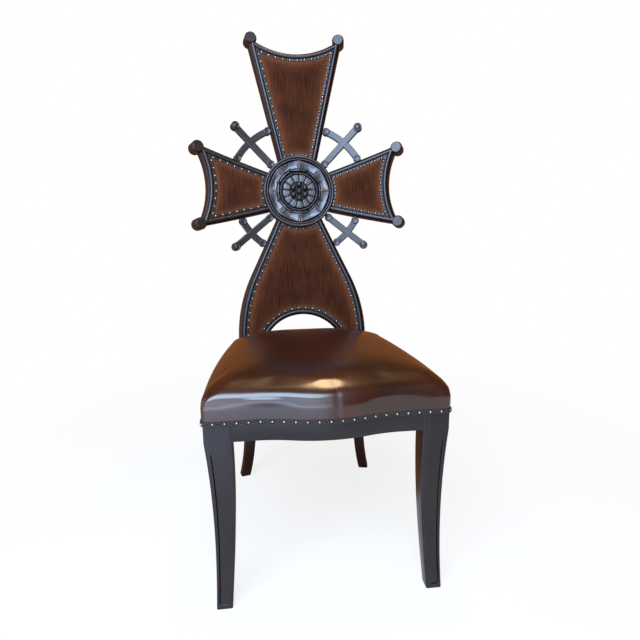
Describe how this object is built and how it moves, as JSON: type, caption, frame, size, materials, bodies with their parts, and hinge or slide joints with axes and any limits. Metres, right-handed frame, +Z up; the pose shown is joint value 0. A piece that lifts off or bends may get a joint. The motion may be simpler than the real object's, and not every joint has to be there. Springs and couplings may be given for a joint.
{
  "type": "gothic side chair",
  "caption": "Tall dark wood side chair: a padded back shaped as a flared cross round a carved rosette, with ring bars, spindles and corner knobs, over a crowned leather seat.",
  "frame": {"origin": "on the floor, under the middle of the chair's overall box", "axes": "+Z up, +X to the right of someone who looks at the front, the sitter faces -Y"},
  "size_m": [0.6178, 0.7192, 1.2983],
  "materials": {
    "dark_wood": "near-black brown stain under satin polish",
    "plain_wood": "bare, sawn",
    "leather": "glossy, creased, darker at the edges",
    "velvet": "short pile with a vertical nap",
    "trim_braid": "woven trim braid",
    "antique_nails": "antiqued domed heads",
    "foam": "cut padding",
    "back_cloth": "plain weave, pulled flat",
    "dust_cloth": "thin black cloth",
    "webbing": "jute strap",
    "steel": "plain"
  },
  "bodies": {
    "root": {"arch_rail": "dark_wood", "arm_end_rail_left": "dark_wood", "arm_end_rail_right": "dark_wood", "arm_knobs_left": "dark_wood", "arm_knobs_right": "dark_wood", "arm_lower_stile_left": "dark_wood", "arm_lower_stile_right": "dark_wood", "arm_upper_stile_left": "dark_wood", "arm_upper_stile_right": "dark_wood", "back_gimp": "trim_braid", "corner_blocks": "plain_wood", "corner_screws": "steel", "crest_knobs": "dark_wood", "crest_rail": "dark_wood", "dust_sheet": "dust_cloth", "front_leg_left": "dark_wood", "front_leg_right": "dark_wood", "front_seat_rail": "dark_wood", "hub_block": "dark_wood", "left_back_panel": "back_cloth", "left_pad_board": "plain_wood", "left_pad_foam": "foam", "left_velvet": "velvet", "lower_back_panel": "back_cloth", "lower_pad_board": "plain_wood", "lower_pad_foam": "foam", "lower_ring_bar_left": "dark_wood", "lower_ring_bar_right": "dark_wood", "lower_spindle_left": "dark_wood", "lower_spindle_right": "dark_wood", "lower_velvet": "velvet", "rail_dowels": "plain_wood", "rear_leg_left": "dark_wood", "rear_leg_right": "dark_wood", "rear_seat_rail": "dark_wood", "right_back_panel": "back_cloth", "right_pad_board": "plain_wood", "right_pad_foam": "foam", "right_velvet": "velvet", "rosette_daisy": "dark_wood", "rosette_leaves": "dark_wood", "rosette_seeds": "dark_wood", "seat_foam": "foam", "seat_leather": "leather", "seat_trim_band": "trim_braid", "seat_webbing": "webbing", "side_seat_rail_left": "dark_wood", "side_seat_rail_right": "dark_wood", "upper_back_panel": "back_cloth", "upper_pad_board": "plain_wood", "upper_pad_foam": "foam", "upper_ring_bar_left": "dark_wood", "upper_ring_bar_right": "dark_wood", "upper_spindle_left": "dark_wood", "upper_spindle_right": "dark_wood", "upper_stile_left": "dark_wood", "upper_stile_right": "dark_wood", "upper_velvet": "velvet"}
  },
  "joints": []
}
